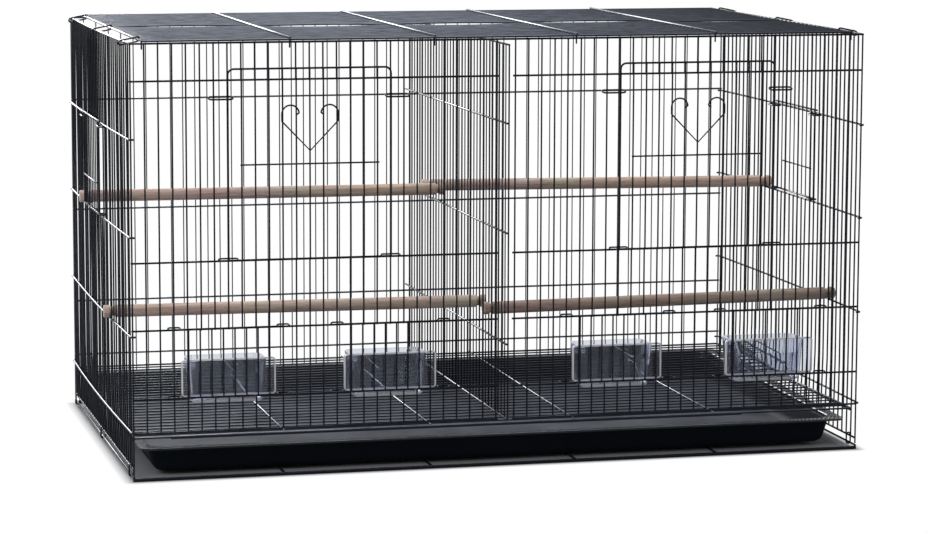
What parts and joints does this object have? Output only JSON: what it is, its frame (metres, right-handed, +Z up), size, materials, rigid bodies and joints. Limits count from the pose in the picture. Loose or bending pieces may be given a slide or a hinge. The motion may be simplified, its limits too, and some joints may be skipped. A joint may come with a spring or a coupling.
{
  "type": "bird cage",
  "caption": "Wide wire bird cage in two compartments with sliding doors, feeder doors with clear cups, side nest doors, wooden perches, a floor grate and a pull-out tray.",
  "frame": {"origin": "middle of the cage's footprint on the surface that it stands on", "axes": "+Z up, -Y towards the front with the doors, +X to the right as seen from the front"},
  "size_m": [0.7834, 0.4655, 0.4419],
  "materials": {
    "coated_wire": "glossy black powder coat on steel wire",
    "tray_plastic": "glossy moulded black plastic",
    "clear_plastic": "clear moulded plastic with a faint violet tint",
    "perch_wood": "bare turned dowel"
  },
  "bodies": {
    "cage": {"front_panel": "coated_wire", "back_panel": "coated_wire", "left_panel": "coated_wire", "right_panel": "coated_wire", "top_panel": "coated_wire", "base_panel": "coated_wire", "divider": "coated_wire", "top_clip_left_front": "coated_wire", "top_clip_left_middle": "coated_wire", "top_clip_left_back": "coated_wire", "top_clip_right_front": "coated_wire", "top_clip_right_middle": "coated_wire", "top_clip_right_back": "coated_wire", "base_clip_left_front": "coated_wire", "base_clip_left_middle": "coated_wire", "base_clip_left_back": "coated_wire", "base_clip_right_front": "coated_wire", "base_clip_right_middle": "coated_wire", "base_clip_right_back": "coated_wire", "left_door_ring_outer": "coated_wire", "left_door_ring_inner": "coated_wire", "right_door_ring_outer": "coated_wire", "right_door_ring_inner": "coated_wire", "left_nest_ring_front": "coated_wire", "left_nest_ring_back": "coated_wire", "right_nest_ring_front": "coated_wire", "right_nest_ring_back": "coated_wire"},
    "left_door": {"left_door": "coated_wire"},
    "right_door": {"right_door": "coated_wire"},
    "left_nest_door": {"left_nest_door": "coated_wire"},
    "right_nest_door": {"right_nest_door": "coated_wire"},
    "left_feeder_door_outer": {"left_feeder_door_outer": "coated_wire"},
    "left_feeder_door_inner": {"left_feeder_door_inner": "coated_wire"},
    "right_feeder_door_outer": {"right_feeder_door_outer": "coated_wire"},
    "right_feeder_door_inner": {"right_feeder_door_inner": "coated_wire"},
    "left_cup_outer": {"left_cup_outer": "clear_plastic"},
    "left_cup_inner": {"left_cup_inner": "clear_plastic"},
    "right_cup_outer": {"right_cup_outer": "clear_plastic"},
    "right_cup_inner": {"right_cup_inner": "clear_plastic"},
    "left_perch_upper": {"left_perch_upper": "perch_wood"},
    "left_perch_lower": {"left_perch_lower": "perch_wood"},
    "right_perch_upper": {"right_perch_upper": "perch_wood"},
    "right_perch_lower": {"right_perch_lower": "perch_wood"},
    "grate": {"grate": "coated_wire"},
    "tray": {"tray": "tray_plastic"}
  },
  "joints": [
    {"name": "left_door_slide", "type": "slide", "parent": "cage", "child": "left_door", "axis": [0, 0, 1], "range_m": [0, 0.155]},
    {"name": "right_door_slide", "type": "slide", "parent": "cage", "child": "right_door", "axis": [0, 0, 1], "range_m": [0, 0.155]},
    {"name": "left_nest_door_slide", "type": "slide", "parent": "cage", "child": "left_nest_door", "axis": [0, 0, 1], "range_m": [0, 0.086]},
    {"name": "right_nest_door_slide", "type": "slide", "parent": "cage", "child": "right_nest_door", "axis": [0, 0, 1], "range_m": [0, 0.086]},
    {"name": "left_feeder_door_outer_slide", "type": "slide", "parent": "cage", "child": "left_feeder_door_outer", "axis": [0, 0, 1], "range_m": [0, 0.058]},
    {"name": "left_feeder_door_inner_slide", "type": "slide", "parent": "cage", "child": "left_feeder_door_inner", "axis": [0, 0, 1], "range_m": [0, 0.058]},
    {"name": "right_feeder_door_outer_slide", "type": "slide", "parent": "cage", "child": "right_feeder_door_outer", "axis": [0, 0, 1], "range_m": [0, 0.058]},
    {"name": "right_feeder_door_inner_slide", "type": "slide", "parent": "cage", "child": "right_feeder_door_inner", "axis": [0, 0, 1], "range_m": [0, 0.058]},
    {"name": "left_cup_outer_lift", "type": "slide", "parent": "cage", "child": "left_cup_outer", "axis": [0, 0, 1], "range_m": [0, 0.026]},
    {"name": "left_cup_inner_lift", "type": "slide", "parent": "cage", "child": "left_cup_inner", "axis": [0, 0, 1], "range_m": [0, 0.026]},
    {"name": "right_cup_outer_lift", "type": "slide", "parent": "cage", "child": "right_cup_outer", "axis": [0, 0, 1], "range_m": [0, 0.026]},
    {"name": "right_cup_inner_lift", "type": "slide", "parent": "cage", "child": "right_cup_inner", "axis": [0, 0, 1], "range_m": [0, 0.026]},
    {"name": "left_perch_upper_lift", "type": "slide", "parent": "cage", "child": "left_perch_upper", "axis": [0, 0, 1], "range_m": [0, 0.075]},
    {"name": "left_perch_lower_lift", "type": "slide", "parent": "cage", "child": "left_perch_lower", "axis": [0, 0, 1], "range_m": [0, 0.075]},
    {"name": "right_perch_upper_lift", "type": "slide", "parent": "cage", "child": "right_perch_upper", "axis": [0, 0, 1], "range_m": [0, 0.075]},
    {"name": "right_perch_lower_lift", "type": "slide", "parent": "cage", "child": "right_perch_lower", "axis": [0, 0, 1], "range_m": [0, 0.075]},
    {"name": "grate_pull", "type": "slide", "parent": "cage", "child": "grate", "axis": [0, -1, 0], "range_m": [0, 0.4]},
    {"name": "tray_pull", "type": "slide", "parent": "cage", "child": "tray", "axis": [0, -1, 0], "range_m": [0, 0.4]}
  ]
}
